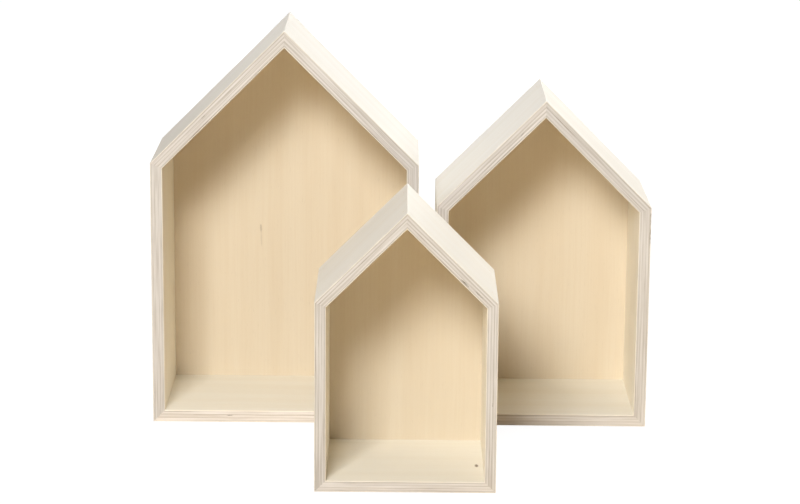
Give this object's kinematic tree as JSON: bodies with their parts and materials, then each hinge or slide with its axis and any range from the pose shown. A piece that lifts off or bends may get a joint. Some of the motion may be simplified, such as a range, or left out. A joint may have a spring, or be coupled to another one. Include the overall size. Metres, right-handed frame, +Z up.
{
  "type": "house-shaped wall shelf set",
  "caption": "House-shaped wall shelves of mitred plywood in graded sizes, open at the front with a thin back, for standing on a surface or hanging on a wall.",
  "frame": {"origin": "on the surface that the houses stand on, at the middle of the ground that the set covers, hangers included", "axes": "+Z up; the open fronts face -Y, towards the viewer of the picture; +X to that viewer's right, from the large house to the medium one"},
  "size_m": [0.3734, 0.265, 0.3],
  "materials": {
    "frame_plywood": "raw sanded plywood boards with pale striped edges",
    "back_plywood": "raw sanded thin plywood, warm cream with fine upright grain",
    "brad_steel": "bright flat drawn wire",
    "hanger_steel": "zinc-plated pressed strip",
    "nail_steel": "zinc-plated, with rounded heads"
  },
  "bodies": {
    "large_house": {"large_floor": "frame_plywood", "large_right_wall": "frame_plywood", "large_right_roof": "frame_plywood", "large_left_roof": "frame_plywood", "large_left_wall": "frame_plywood", "large_back_panel": "back_plywood", "large_corner_brads": "brad_steel", "large_back_brads": "brad_steel", "large_hanger": "hanger_steel", "large_hanger_nails": "nail_steel"},
    "medium_house": {"medium_floor": "frame_plywood", "medium_right_wall": "frame_plywood", "medium_right_roof": "frame_plywood", "medium_left_roof": "frame_plywood", "medium_left_wall": "frame_plywood", "medium_back_panel": "back_plywood", "medium_corner_brads": "brad_steel", "medium_back_brads": "brad_steel", "medium_hanger": "hanger_steel", "medium_hanger_nails": "nail_steel"},
    "small_house": {"small_floor": "frame_plywood", "small_right_wall": "frame_plywood", "small_right_roof": "frame_plywood", "small_left_roof": "frame_plywood", "small_left_wall": "frame_plywood", "small_back_panel": "back_plywood", "small_corner_brads": "brad_steel", "small_back_brads": "brad_steel", "small_hanger": "hanger_steel", "small_hanger_nails": "nail_steel"}
  },
  "joints": [
    {"name": "medium_house_shift", "type": "slide", "parent": "large_house", "child": "medium_house", "axis": [1, 0, 0], "range_m": [0, 0.2]},
    {"name": "small_house_shift", "type": "slide", "parent": "large_house", "child": "small_house", "axis": [0, -1, 0], "range_m": [0, 0.2]}
  ]
}
